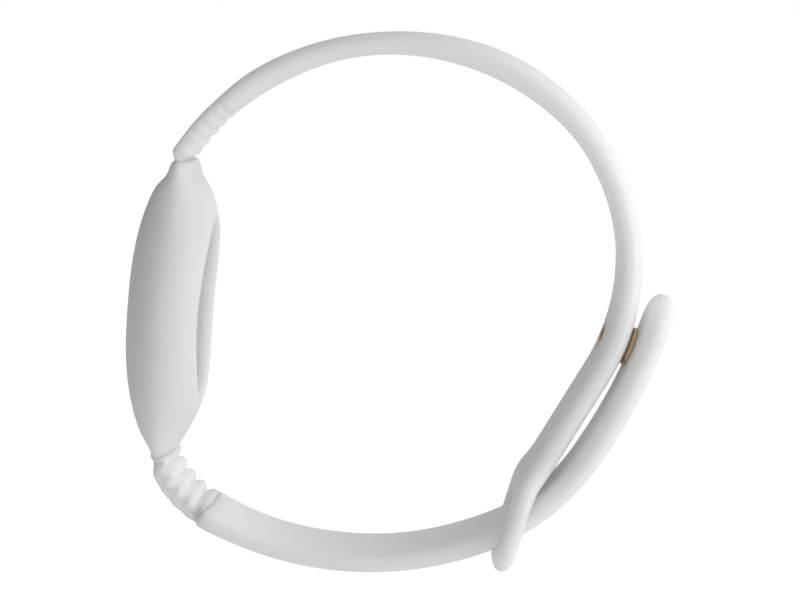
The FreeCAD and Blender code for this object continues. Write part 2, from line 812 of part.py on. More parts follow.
def buildNeedles(placement):
    """Insulating block on the board and the row of discharge needles it holds upright."""
    top = dim("board_top")
    block = newBody("needle_block")
    base = newSketch(block, "YZ_Plane", top)
    halfY = dim("needle_block_width") / 2
    halfZ = dim("needle_block_length") / 2
    z = dim("needle_at")
    addPolygon(base, [(-halfY, z - halfZ), (halfY, z - halfZ), (halfY, z + halfZ),
                      (-halfY, z + halfZ)])
    pad(block, base, "dims.needle_block_height")
    rows = [dim("needle_pitch") * i for i in (-1, 0, 1)]
    bores = [(y, z, "dims.needle_radius + dims.snug_room") for y in rows]
    drill(block, top, bores, "dims.cut_reach", True)
    block.Placement = placement
    needles = []
    for index, y in enumerate(rows):
        spot = placement.multiply(
            FreeCAD.Placement(V(top, y, z), FreeCAD.Rotation(V(0, 1, 0), 90)))
        shank = cylinder("needle_shank_%d" % index, "dims.needle_radius",
                         "dims.needle_shank_length", spot)
        point = doc.addObject("Part::Cone", "needle_point_%d" % index)
        point.setExpression("Radius1", "dims.needle_radius")
        point.setExpression("Radius2", "dims.needle_tip_radius")
        point.setExpression("Height", "dims.needle_point_length")
        tipStart = FreeCAD.Placement(V(0, 0, dim("needle_shank_length")), FreeCAD.Rotation())
        point.Placement = spot.multiply(tipStart)
        needles.append(fuse("needle_%d" % index, [shank, point]))
    group = doc.addObject("Part::Compound", "discharge_needles")
    group.Label = "discharge_needles"
    group.Links = needles
    return [block, group]


# ---------------------------------------------------------------- assembly
def exportNodes(nodes):
    """Check every object, then write one STEP file for each node."""
    broken = [item.Name for item in doc.Objects if {"Invalid", "Error"} & set(item.State)]
    if broken:
        raise RuntimeError("failed objects: " + ", ".join(broken))
    for node in nodes:
        shape = node.Shape
        if shape.isNull() or not shape.isValid():
            raise RuntimeError("%s has no valid shape" % node.Label)
    os.makedirs("parts", exist_ok=True)
    for node in nodes:
        shape = node.Shape
        shape.exportStep("parts/%s.step" % node.Label)
        print("%-22s solids %d  volume %8.2f" % (node.Label, len(shape.Solids), shape.Volume))


podPlace = FreeCAD.Placement(V(dim("pod_x"), 0, dim("pod_z")),
                             FreeCAD.Rotation(V(0, 1, 0), dim("pod_lean")))
podBlank = buildPodBlank(podPlace)
upperNodes, sideCentre = buildUpperBand(podBlank)
lowerNodes, tailBlank, tailCentre = buildLowerBand(podBlank)
studNodes = buildStud(sideCentre, tailCentre, tailBlank)
podNodes = buildPod(podBlank, podPlace)
caseNodes = buildCase(podPlace)
electricNodes = buildElectrics(podPlace)
doc.recompute()
allNodes = upperNodes + lowerNodes + studNodes + podNodes + caseNodes + electricNodes
exportNodes(allNodes)
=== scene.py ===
import math

import bpy
import numpy as np
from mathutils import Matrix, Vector


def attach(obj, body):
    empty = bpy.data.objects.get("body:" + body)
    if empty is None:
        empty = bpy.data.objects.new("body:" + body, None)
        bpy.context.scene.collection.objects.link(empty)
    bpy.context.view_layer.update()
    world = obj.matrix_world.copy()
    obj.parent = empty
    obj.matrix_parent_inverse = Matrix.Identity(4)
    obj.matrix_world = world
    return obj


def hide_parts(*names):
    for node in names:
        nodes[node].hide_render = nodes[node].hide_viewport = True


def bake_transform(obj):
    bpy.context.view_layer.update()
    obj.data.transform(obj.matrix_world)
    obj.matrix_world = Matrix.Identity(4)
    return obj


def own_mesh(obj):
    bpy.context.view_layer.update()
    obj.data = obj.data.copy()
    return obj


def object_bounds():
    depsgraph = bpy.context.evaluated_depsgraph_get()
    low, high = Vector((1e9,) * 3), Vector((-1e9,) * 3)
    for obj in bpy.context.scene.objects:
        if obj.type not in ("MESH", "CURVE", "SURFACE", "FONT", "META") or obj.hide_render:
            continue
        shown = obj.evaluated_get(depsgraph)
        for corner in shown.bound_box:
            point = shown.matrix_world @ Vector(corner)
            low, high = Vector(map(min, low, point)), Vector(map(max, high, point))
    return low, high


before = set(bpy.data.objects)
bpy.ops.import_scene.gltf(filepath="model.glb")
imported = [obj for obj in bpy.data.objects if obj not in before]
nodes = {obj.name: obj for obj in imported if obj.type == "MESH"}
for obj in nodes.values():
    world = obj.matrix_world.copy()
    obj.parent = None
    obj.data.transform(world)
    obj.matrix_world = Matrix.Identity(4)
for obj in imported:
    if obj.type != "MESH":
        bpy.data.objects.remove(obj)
cadBox = [list(corner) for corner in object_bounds()]
print("frame loaded with", len(nodes), "nodes")

mm = 0.001


# The camera looks square at the band's side from a little above, and slightly to the right.
cameraView = {"place": (0.01443, -0.21617, 0.03199), "target": (0.0, 0.0, 0.0), "lens": 78.75}


def addCamera(view):
    data = bpy.data.cameras.new("camera")
    data.lens = view["lens"]
    data.clip_start, data.clip_end = 0.005, 20
    camera = bpy.data.objects.new("camera", data)
    bpy.context.scene.collection.objects.link(camera)
    place = Vector(view["place"])
    camera.location = place
    camera.rotation_euler = (Vector(view["target"]) - place).to_track_quat("-Z", "Y").to_euler()
    bpy.context.scene.camera = camera


addCamera(cameraView)


# Shapes are grids of points in mm, worked out whole and put into meshes in metres.
def walkChain(start, heading, steps):
    # Tangent arcs and straights in the XZ plane, mm and degrees.  A step is (radius, turn), where
    # a positive turn bends left, or (0, length).
    chain, x, z, begin = [], start[0], start[1], 0.0
    for radius, amount in steps:
        h = math.radians(heading)
        curve = 0.0 if radius == 0 else math.copysign(1 / radius, amount)
        length = amount if radius == 0 else radius * math.radians(abs(amount))
        chain.append({"x": x, "z": z, "heading": h, "curve": curve, "begin": begin, "length": length})
        if curve:
            after = h + curve * length
            x += (math.sin(after) - math.sin(h)) / curve
            z += (math.cos(h) - math.cos(after)) / curve
            heading += amount
        else:
            x += length * math.cos(h)
            z += length * math.sin(h)
        begin += length
    return chain


def alongChain(chain, s):
    # Place and heading at distances s; the first and last steps run on past their ends.
    x, z, heading = np.zeros_like(s), np.zeros_like(s), np.zeros_like(s)
    for i, step in enumerate(chain):
        low = -np.inf if i == 0 else step["begin"]
        high = np.inf if i == len(chain) - 1 else step["begin"] + step["length"]
        here = (s >= low) & (s < high)
        t = s[here] - step["begin"]
        h, k = step["heading"], step["curve"]
        if k:
            x[here] = step["x"] + (np.sin(h + k * t) - math.sin(h)) / k
            z[here] = step["z"] + (math.cos(h) - np.cos(h + k * t)) / k
        else:
            x[here] = step["x"] + t * math.cos(h)
            z[here] = step["z"] + t * math.sin(h)
        heading[here] = h + k * t
    return x, z, heading


def smoothStep(t):
    t = np.clip(t, 0, 1)
    return t * t * (3 - 2 * t)


def eased(s, stations):
    # Smooth values through a few (distance, value) stations.
    places = [p for p, v in stations]
    values = [v for p, v in stations]
    result = np.full_like(s, values[0])
    for p0, p1, v0, v1 in zip(places, places[1:], values, values[1:]):
        result += (v1 - v0) * smoothStep((s - p0) / (p1 - p0))
    return result


def roundSection(columns, innerSquare, outerSquare):
    # A superellipse across the strap whose inner and outer halves have their own squareness.
    turn = np.linspace(0, 2 * np.pi, columns, endpoint=False)
    c, s = np.cos(turn), np.sin(turn)
    power = 2 / np.where(s > 0, outerSquare, innerSquare)
    return np.sign(c) * np.abs(c) ** power, np.sign(s) * np.abs(s) ** power


def carried(chain, side, s, across, out):
    # Section points carried along the chain: out is measured to the left of the heading when side
    # is 1 and to the right when it is -1; across is along Y.
    x, z, h = alongChain(chain, s)
    return np.stack([x - side * np.sin(h) * out, across, z + side * np.cos(h) * out], axis=-1)


def gridPiece(name, points):
    # A mesh from a grid of points in mm.  Columns run round, and each end row is closed on its
    # own middle; the faces are turned to point outwards.
    rows, columns = points.shape[:2]
    flat = points.reshape(-1, 3)
    i, j = np.meshgrid(np.arange(rows - 1), np.arange(columns), indexing="ij")
    jn = (j + 1) % columns
    quads = np.stack([i * columns + j, i * columns + jn, (i + 1) * columns + jn,
                      (i + 1) * columns + j], axis=-1).reshape(-1, 4)
    around = np.arange(columns)
    after = (around + 1) % columns
    firstPole, lastPole = len(flat), len(flat) + 1
    flat = np.vstack([flat, points[0].mean(axis=0), points[-1].mean(axis=0)])
    tail = (rows - 1) * columns
    caps = np.vstack([np.stack([after, around, np.full(columns, firstPole)], axis=-1),
                      np.stack([tail + around, tail + after, np.full(columns, lastPole)], axis=-1)])
    triangles = np.vstack([quads[:, [0, 1, 2]], quads[:, [0, 2, 3]], caps])
    a, b, c = (flat[triangles[:, k]] for k in range(3))
    if np.einsum("ij,ij->i", a, np.cross(b, c)).sum() < 0:
        quads, caps = quads[:, ::-1], caps[:, ::-1]
    mesh = bpy.data.meshes.new(name)
    mesh.from_pydata((flat * mm).tolist(), [], quads.tolist() + caps.tolist())
    mesh.polygons.foreach_set("use_smooth", np.ones(len(mesh.polygons), bool))
    mesh.validate()
    piece = bpy.data.objects.new(name, mesh)
    bpy.context.scene.collection.objects.link(piece)
    return piece


def turned(profile, segments, base, axis):
    # A profile of (radius, height) turned round an axis that starts at base and lies in XZ.
    profile = np.array(profile)
    angle = np.linspace(0, 2 * np.pi, segments, endpoint=False)
    up = np.array([axis[0], 0, axis[1]])
    side = np.array([-axis[1], 0, axis[0]])
    across = np.array([0, 1, 0])
    ring = np.cos(angle)[:, None] * side + np.sin(angle)[:, None] * across
    return (np.array([base[0], 0, base[1]]) + profile[:, 1, None, None] * up
            + profile[:, 0, None, None] * ring[None])


def drilled(piece, cutter):
    # The cutter taken out of the piece, and removed.
    cut = piece.modifiers.new("cut", "BOOLEAN")
    cut.operation = "DIFFERENCE"
    cut.solver = "EXACT"
    cut.object = cutter
    graph = bpy.context.evaluated_depsgraph_get()
    piece.data = bpy.data.meshes.new_from_object(piece.evaluated_get(graph))
    piece.modifiers.clear()
    bpy.data.objects.remove(cutter)
    return piece


# The upper half of the band: ribbed neck, crown, side, punched length and the loop at its end.
upperBand = {
    "columns": 80, "square": (3.2, 2.7),
    "start": (-27.81, 17.49), "heading": 56.3,
    "steps": [(32.6, -76.8), (26.85, -100.0), (0, 15.0), (8.0, 13.5), (0, 12.0)],
    "halfWidth": 5.5, "neckHalfWidth": 4.8, "loopHalfWidth": 8.2,
    "widens": (12, 102, 109), "cornerReach": 4.4, "cornerDepth": 4.0,
    "outer": [(-1.4, 0.7), (0.25, 0.7), (1.35, 0.85), (8, 0.95), (15, 1.25), (28, 1.2),
              (48, 1.55), (62, 1.7), (74, 1.85), (80, 1.85), (104, 1.75), (108.5, 1.58)],
    "inner": [(-1.4, 0.75), (0.25, 0.85), (2.0, 1.72), (9.6, 1.62), (15, 1.7), (28, 1.55), (48, 1.85),
              (62, 1.45), (75.2, 1.32), (76.2, 1.35), (88, 1.45), (104, 1.5), (108.5, 1.55)],
    "shift": [(-1.4, -0.95), (0.2, -0.75), (1.35, 0.0), (102.5, 0.0), (109, -0.35)],
    "first": -1.4, "last": 117.9, "endReach": 1.9,
    "ribFirst": 1.3, "ribLast": 9.6, "ribs": 5, "ribDepth": 0.34, "ribSide": 0.35,
    "studAt": 85.97, "holePitch": 7.0, "holes": (-1, 0), "holeRadius": 1.8, "holeInside": 1.6,
    "holeFlare": 0.15, "holeReach": 2.4,
    "slotFirst": 107.95, "slotLength": 7.4, "slotWidth": 11.8, "slotSquare": 6.0, "slotFlare": 0.5,
}


def upperShift(s):
    # The loop stands a little inside the line of the strap.
    return eased(s, upperBand["shift"])


def spotOn(chain, s):
    # Place and heading at one distance, as plain numbers.
    return (float(a[0]) for a in alongChain(chain, np.array([s])))


def slotCutter(v, chain):
    # A rounded rectangle carried through the strap, spreading at both faces to round its edges.
    middle = v["slotFirst"] + v["slotLength"] / 2
    x, z, h = spotOn(chain, middle)
    shift = float(upperShift(np.array([middle]))[0])
    height = np.linspace(-2.6, 2.6, 27)[:, None]
    flare = v["slotFlare"] * np.clip((np.abs(height) - 0.75) / 0.8, 0, 4) ** 2
    turn = np.linspace(0, 2 * np.pi, 96, endpoint=False)[None]
    c, w = np.cos(turn), np.sin(turn)
    power = 2 / v["slotSquare"]
    y = (v["slotWidth"] / 2 + flare) * np.sign(c) * np.abs(c) ** power
    q = (v["slotLength"] / 2 + flare) * np.sign(w) * np.abs(w) ** power
    n = height + shift + 0 * q
    points = np.stack([x + math.cos(h) * q - math.sin(h) * n, y,
                       z + math.sin(h) * q + math.cos(h) * n], axis=-1)
    return gridPiece("cutter", points)


def buildUpperStrap(v):
    chain = walkChain(v["start"], v["heading"], v["steps"])
    # rows stand closest over the ribs and round the end bar
    plain, bar, last = v["ribLast"] + 0.4, 104, v["last"] - v["endReach"]
    s = np.concatenate([np.linspace(v["first"], plain, 170, endpoint=False),
                        np.linspace(plain, bar, 260, endpoint=False),
                        np.linspace(bar, last, 60, endpoint=False),
                        v["last"] - v["endReach"] * np.cos(np.linspace(0, np.pi / 2, 22))])
    across, out = roundSection(v["columns"], *v["square"])
    neckEnd, loopFrom, loopTo = v["widens"]
    width = eased(s, [(v["first"], v["neckHalfWidth"]), (neckEnd, v["halfWidth"]),
                      (loopFrom, v["halfWidth"]), (loopTo, v["loopHalfWidth"])])
    outer, inner = eased(s, v["outer"]), eased(s, v["inner"])
    # ribs across the inner side of the neck: round crests with narrow valleys between them
    pitch = (v["ribLast"] - v["ribFirst"]) / v["ribs"]
    wave = np.abs(np.sin(np.pi * (s - v["ribFirst"]) / pitch)) ** 0.8
    groove = np.where((s > v["ribFirst"]) & (s < v["ribLast"]), 1 - wave, 0)
    inner = inner - v["ribDepth"] * groove
    # the loop's corners turn in over its last few mm, and its end bar is rounded off
    corner = np.clip((s - v["last"] + v["cornerReach"]) / v["cornerReach"], 0, 1)
    width = width - v["cornerDepth"] * (1 - np.sqrt(1 - corner ** 2))
    fade = np.clip((s - v["last"] + v["endReach"]) / v["endReach"], 0, 1)
    close = np.sqrt(1 - fade ** 2)
    outer, inner = outer * close, inner * close
    y = width[:, None] * across[None]
    n = np.where(out[None] > 0, outer[:, None], inner[:, None]) * out[None]
    # the grooves run out to the strap's edges on its inner side only
    deep = smoothStep((0.5 - out[None]) / 1.3)
    y = y * (1 - v["ribSide"] / v["halfWidth"] * groove[:, None] * deep)
    n = n + upperShift(s)[:, None]
    strap = gridPiece("upperStrap", carried(chain, 1, s[:, None] + 0 * n, y, n))
    for hole in v["holes"]:
        x, z, h = spotOn(chain, v["studAt"] + hole * v["holePitch"])
        height = np.linspace(-v["holeReach"], v["holeReach"], 25)
        flare = v["holeFlare"] * np.clip((np.abs(height) - 1.2) / 0.6, 0, 4) ** 2
        # the hole is as wide as the stud's collar outside and hugs its head inside
        radius = v["holeInside"] + (v["holeRadius"] - v["holeInside"]) * smoothStep(height + 0.6)
        profile = np.stack([radius + flare, height], axis=-1)
        axis = (-math.sin(h), math.cos(h))
        strap = drilled(strap, gridPiece("cutter", turned(profile, 48, (x, z), axis)))
    return drilled(strap, slotCutter(v, chain))


upperStrap = buildUpperStrap(upperBand)
print("upper strap", len(upperStrap.data.polygons), "faces")


# The lower half of the band: ribbed neck, then belly, slot length and tail as one strap.
lowerBand = {
    "start": (-30.38, -19.5), "heading": -75.0,
    "steps": [(12.7, 45.0), (40.5, 51.0), (27.4, 34.95), (70.5, 14.0), (0, 8.0)],
    "halfWidth": 5.5,
    "outer": [(9.2, 2.0), (16, 1.8), (46, 1.75), (52, 1.7), (58, 1.8), (66, 1.9)],
    "inner": [(9.2, 1.35), (16, 1.15), (30, 1.3), (46, 1.45), (52, 1.45), (58, 1.5), (66, 1.57)],
    "roundness": [(44, 0.0), (58, 1.0)], "bellySquare": (4.2, 2.7), "tailSquare": (2.5, 2.6),
    "columns": 80, "rootReach": 1.1, "rootWidth": 0.72, "rootPower": 2.2, "tipThin": 2.6,
    "first": 9.1, "last": 85.7, "tip": 5.5,
    "hinge": (19.746, -23.852), "bendReach": 5.0, "bendHeading": 44.0,
}


def buildLowerStrap(v):
    chain = walkChain(v["start"], v["heading"], v["steps"])
    first, last = v["first"], v["last"]
    swell = 1.6
    s = np.concatenate([first + swell * (1 - np.cos(np.linspace(0, np.pi / 2, 18))),
                        np.linspace(first + swell, last - v["tip"], 380)[1:],
                        last - v["tip"] * np.cos(np.linspace(0, np.pi / 2, 40))[1:]])
    # the belly's inner edges are square, and the tail's are round
    share = eased(s, v["roundness"])[:, None]
    square = roundSection(v["columns"], *v["bellySquare"])
    soft = roundSection(v["columns"], *v["tailSquare"])
    across = square[0][None] * (1 - share) + soft[0][None] * share
    out = square[1][None] * (1 - share) + soft[1][None] * share
    outer, inner = eased(s, v["outer"]), eased(s, v["inner"])
    # the tip is round seen from above and from the side, and the root swells out of the neck
    tip = np.sqrt(np.clip(1 - np.clip((s - last + v["tip"]) / v["tip"], 0, 1) ** 2, 0, 1))
    thin = v["tipThin"]
    thinning = np.sqrt(np.clip(1 - np.clip((s - last + thin) / thin, 0, 1) ** 2, 0, 1))
    root = np.clip((s - first) / v["rootReach"], 0, 1)
    rounding = (1 - (1 - root) ** v["rootPower"]) ** (1 / v["rootPower"])
    width = v["halfWidth"] * tip * (v["rootWidth"] + (1 - v["rootWidth"]) * rounding)
    outer, inner = outer * thinning * rounding, inner * thinning * rounding
    y = width[:, None] * across
    n = np.where(out > 0, outer[:, None], inner[:, None]) * out
    return gridPiece("lowerStrap", carried(chain, -1, s[:, None] + 0 * n, y, n))


neckShape = {
    "columns": 128, "square": 2.9,
    "centre": (-18.11, -16.1), "from": 194.0, "to": 243.0, "skinOut": 14.5, "halfWidth": 4.9,
    "crest": 11.1, "valley": 12.0, "firstCrest": 200.4, "pitch": 9.3, "skinPitch": 8.2,
    "pocketFrom": 11.7, "pocketTo": 13.3, "pocketShare": 0.75, "pocketDepth": 0.85,
    "valleyDepth": 0.45, "dipAt": 198.6, "dip": 0.8, "dipReach": 4.5,
}


def boxSection(columns, square):
    # Evenly spaced points round a superellipse in a box from -1 to 1.
    turn = np.linspace(0, 2 * np.pi, 4001)
    c, s = np.cos(turn), np.sin(turn)
    x, y = np.sign(c) * np.abs(c) ** (2 / square), np.sign(s) * np.abs(s) ** (2 / square)
    run = np.concatenate([[0], np.cumsum(np.hypot(np.diff(x), np.diff(y)))])
    even = np.linspace(0, run[-1], columns, endpoint=False)
    return np.interp(even, run, x), np.interp(even, run, y)


def buildLowerNeck(v):
    # A bellows: a smooth outer skin carries round lobes on its inner side.  Under each lobe, by
    # the skin, there is a three-cornered pocket, and between each two lobes a valley.
    angle = np.linspace(v["from"], v["to"], 360)[:, None]
    across, out = boxSection(v["columns"], v["square"])
    across, out = across[None], out[None]
    beyond = angle - v["firstCrest"]
    saw = np.abs((beyond / v["pitch"] + 0.5) % 1 - 0.5) * 2
    crest = v["crest"] + (v["valley"] - v["crest"]) * saw ** 2.0
    skinDip = v["dip"] * np.exp(-(np.maximum(angle - v["dipAt"], 0) / v["dipReach"]) ** 2)
    skin = v["skinOut"] - skinDip
    r = crest + (skin - crest) * (out + 1) / 2
    # the lobes lean, so the pockets by the skin stand closer together than the crests
    outward = np.clip((r - v["crest"]) / (v["pocketTo"] - v["crest"]), 0, 1)
    pitch = v["pitch"] + (v["skinPitch"] - v["pitch"]) * outward
    leaned = np.abs((beyond / pitch + 0.5) % 1 - 0.5) * 2
    share = np.clip((r - v["pocketFrom"]) / (v["pocketTo"] - v["pocketFrom"]), 0, 1) * v["pocketShare"]
    inPocket = smoothStep((share - leaned) / 0.3)
    bySkin = smoothStep((v["pocketTo"] + 0.2 - r) / 0.3)
    cut = (v["pocketDepth"] * inPocket * bySkin
           + v["valleyDepth"] * leaned ** 3 * smoothStep((12.6 - r) / 1.6) + 0.12 * leaned ** 2)
    cut = cut * smoothStep((np.abs(across) - 0.35) / 0.3)
    y = np.sign(across) * (v["halfWidth"] * np.abs(across) - cut) + 0 * r
    a = np.radians(angle)
    points = np.stack([v["centre"][0] + r * np.cos(a), y, v["centre"][1] + r * np.sin(a)], axis=-1)
    return gridPiece("lowerNeck", points)


lowerStrap = buildLowerStrap(lowerBand)
lowerNeck = buildLowerNeck(neckShape)
print("lower strap", len(lowerStrap.data.polygons), "faces, neck", len(lowerNeck.data.polygons))


# The pocket that holds the capsule, with its oval window towards the wrist.
pocket = {
    "x": -28.54, "z": -1.0, "lean": 5.7, "reach": 19.5, "halfDepth": 5.7, "halfWidth": 8.5,
    "endHalfWidth": 4.8, "endShare": 0.42, "endShrink": 1.6, "depthTaper": 2.6,
    "depthPower": 0.75, "widthPower": 0.8, "wall": 1.35, "windowHalfWidth": 6.0, "windowHalfLength": 11.9,
    "columns": 240, "lipWide": 0.09, "lipLong": 0.05, "endCut": 18.5, "collarAt": 16.6,
    "collarDepth": 0.5, "collarReach": 1.1,
    "footFrom": -15.5, "footGrow": 0.25, "footBack": -0.4,
}


def podReach(v, shrink):
    # Half length of the pod, whose hollow ends further in than the wall is thick.
    return v["reach"] - shrink * v["endShrink"]


def podOutline(s, v, shrink):
    # Half depth and half width of the pod at places along it, less a shrink all round.
    f = np.clip(np.abs(s) / podReach(v, shrink), 0, 1)
    depth = (v["halfDepth"] - shrink) * (1 - f ** v["depthTaper"]) ** v["depthPower"]
    end = v["endHalfWidth"] - shrink
    width = end + (v["halfWidth"] - v["endHalfWidth"]) * (1 - f * f) ** v["widthPower"]
    return depth, width


def podRim(turn, v, shrink):
    # The pod's outline seen from the wrist, as (across, along) for a full turn: straight at the
    # ends, then along the swelling sides.
    reach = podReach(v, shrink)
    quarter = np.abs(((turn + np.pi) % (2 * np.pi)) - np.pi)
    quarter = np.where(quarter > np.pi / 2, np.pi - quarter, quarter)
    endShare = v["endShare"]
    along = np.where(quarter < endShare, reach,
                     reach * np.cos((quarter - endShare) / (np.pi / 2 - endShare) * np.pi / 2))
    depth, width = podOutline(along, v, shrink)
    across = np.where(quarter < endShare, (v["endHalfWidth"] - shrink) * quarter / endShare, width)
    return np.sign(np.sin(turn)) * across, np.sign(np.cos(turn)) * along


def podHeight(y, s, v, shrink):
    depth, width = podOutline(s, v, shrink)
    return depth * np.sqrt(np.clip(1 - (y / np.maximum(width, 1e-6)) ** 2, 0, 1))


def podPlace(n, y, s, v):
    lean = math.radians(v["lean"])
    x = v["x"] + n * math.cos(lean) + s * math.sin(lean)
    z = v["z"] - n * math.sin(lean) + s * math.cos(lean)
    return np.stack([x, y + 0 * n, z], axis=-1)


def buildPocket(v):
    # One closed wall: the outer side from its far pole round to the window's edge, a round lip,
    # and the hollow's wall back to its own pole.  Rows run from pole to pole, columns round the
    # window.
    turn = (np.arange(v["columns"]) + 0.5) / v["columns"] * 2 * np.pi
    windowY, windowS = v["windowHalfWidth"] * np.sin(turn), v["windowHalfLength"] * np.cos(turn)
    shells = []
    for shrink in (0.0, v["wall"]):
        rimY, rimS = podRim(turn, v, shrink)
        grow = np.sin(np.linspace(0.02, 1, 44) * np.pi / 2)[:, None]
        backY, backS = rimY * grow, rimS * grow
        back = -podHeight(backY, backS, v, shrink)
        shrinkStep = (1 - np.sin((1 - np.linspace(0, 1, 40)[1:]) * np.pi / 2))[:, None]
        faceY = rimY + (windowY - rimY) * shrinkStep
        faceS = rimS + (windowS - rimS) * shrinkStep
        face = podHeight(faceY, faceS, v, shrink)
        shells.append([np.vstack(pair) for pair in ((back, face), (backY, faceY), (backS, faceS))])
    (outN, outY, outS), (inN, inY, inS) = shells
    bulge = np.linspace(0, np.pi, 12)[1:-1, None]
    middle, half = (outN[-1] + inN[-1]) / 2, (outN[-1] - inN[-1]) / 2
    lipN = middle + half * np.cos(bulge)
    lipY = windowY * (1 - v["lipWide"] * np.sin(bulge))
    lipS = windowS * (1 - v["lipLong"] * np.sin(bulge))
    n = np.vstack([outN, lipN, inN[::-1]])
    y = np.vstack([outY, lipY, inY[::-1]])
    s = np.vstack([outS, lipS, inS[::-1]])
    # the ends are flattened where the necks begin, and narrowed to a short collar
    outside = np.arange(len(n))[:, None] < len(outN)
    collar = v["collarDepth"] * np.exp(-((s - v["collarAt"]) / v["collarReach"]) ** 2)
    foot = np.where(n < 0, v["footBack"], v["footGrow"]) * smoothStep((v["footFrom"] - s) / 2.5)
    depth = podOutline(s, v, 0.0)[0]
    n = np.where(outside, n * (1 + (foot - collar) / np.maximum(depth, 1.0)), n)
    s = np.where(outside, np.sign(s) * np.minimum(np.abs(s), v["endCut"]), s)
    return gridPiece("pocketSleeve", podPlace(n, y, s, v))


pocketSleeve = buildPocket(pocket)
print("pocket", len(pocketSleeve.data.polygons), "faces")


# The brass stud: flange on the tail, collar in the hole's mouth, and a head inside the strap.
studShape = {
    "angle": -20.7, "centre": (1.325, 4.788), "face": 29.45,
    "profile": [(0.02, -1.15), (0.85, -1.15), (0.9, -1.05), (0.9, 0.06), (2.3, 0.06), (2.42, 0.12),
                (2.45, 0.3), (2.42, 0.52), (2.3, 0.6), (1.85, 0.62), (1.76, 0.68), (1.75, 0.8),
                (1.75, 1.02), (1.66, 1.12), (1.32, 1.3), (1.26, 1.42), (1.25, 1.6), (1.25, 2.7),
                (1.3, 2.8), (1.5, 3.1), (1.55, 3.3), (1.54, 3.5), (1.45, 3.8), (1.2, 4.05),
                (0.9, 4.18), (0.5, 4.24), (0.02, 4.26)],
}


def smoothProfile(profile, levels):
    # Corner-cut the profile a few times, with its ends held.
    p = np.array(profile)
    for level in range(levels):
        a, b = p[:-1], p[1:]
        mids = np.stack([a * 0.75 + b * 0.25, a * 0.25 + b * 0.75], axis=1).reshape(-1, 2)
        p = np.vstack([p[:1], mids, p[-1:]])
    return p


def buildStud(v):
    a = math.radians(v["angle"])
    base = (v["centre"][0] + v["face"] * math.cos(a), v["centre"][1] + v["face"] * math.sin(a))
    points = turned(smoothProfile(v["profile"], 2), 96, base, (-math.cos(a), -math.sin(a)))
    return gridPiece("brassStud", points)


brassStud = buildStud(studShape)
print("stud", len(brassStud.data.polygons), "faces")


# the coil under the skin contact, on the capsule's own axis
springShape = {
    "x": -28.6, "z": -1.0, "lean": 5.4, "low": -1.42, "high": -0.38, "radius": 2.0,
    "wire": 0.12, "turns": 2.5, "floor": -1.55, "keep": 0.69,
}


def buildSpring(v):
    # A tube whose middle climbs a helix; the turns lie flat for the first and last part.
    t = np.linspace(0, 1, 260)
    height = v["low"] + (v["high"] - v["low"]) * smoothStep((t - 0.12) / 0.76)
    angle = 2 * np.pi * v["turns"] * t
    around = np.linspace(0, 2 * np.pi, 16, endpoint=False)
    r = v["radius"] + v["wire"] * np.cos(around)[None]
    n = height[:, None] + v["wire"] * np.sin(around)[None]
    return gridPiece("contactSpring", podPlace(n, r * np.sin(angle)[:, None],
                                               r * np.cos(angle)[:, None], v))


contactSpring = buildSpring(springShape)
print("spring", len(contactSpring.data.polygons), "faces")


# Materials: shared grain and dust groups, and one finish for each kind of stuff.
def newGroup(name, inputs, outputs):
    tree = bpy.data.node_groups.new(name, "ShaderNodeTree")
    for label, kind, value in inputs:
        socket = tree.interface.new_socket(label, in_out="INPUT", socket_type=kind)
        if value is not None:
            socket.default_value = value
    for label, kind in outputs:
        tree.interface.new_socket(label, in_out="OUTPUT", socket_type=kind)
    return tree, tree.nodes.new("NodeGroupInput"), tree.nodes.new("NodeGroupOutput")


def addNode(tree, kind, **settings):
    node = tree.nodes.new(kind)
    for key, value in settings.items():
        if hasattr(node, key):
            setattr(node, key, value)
        else:
            node.inputs[key].default_value = value
    return node


def buildGrain():
    # Fine moulded grain: two scales of noise as a height and a slow blotch as a mask.
    tree, given, result = newGroup(
        "mouldGrain",
        [("Vector", "NodeSocketVector", None), ("Fineness", "NodeSocketFloat", 2600.0),
         ("Blotch", "NodeSocketFloat", 120.0)],
        [("Height", "NodeSocketFloat"), ("Mask", "NodeSocketFloat")])
    fine = addNode(tree, "ShaderNodeTexNoise", Detail=3.0, Roughness=0.55)
    slow = addNode(tree, "ShaderNodeTexNoise", Detail=4.0, Roughness=0.6)
    level = addNode(tree, "ShaderNodeMapRange")
    level.inputs["From Min"].default_value, level.inputs["From Max"].default_value = 0.3, 0.7
    tree.links.new(given.outputs["Vector"], fine.inputs["Vector"])
    tree.links.new(given.outputs["Vector"], slow.inputs["Vector"])
    tree.links.new(given.outputs["Fineness"], fine.inputs["Scale"])
    tree.links.new(given.outputs["Blotch"], slow.inputs["Scale"])
    tree.links.new(slow.outputs["Fac"], level.inputs["Value"])
    tree.links.new(fine.outputs["Fac"], result.inputs["Height"])
    tree.links.new(level.outputs["Result"], result.inputs["Mask"])
    return tree


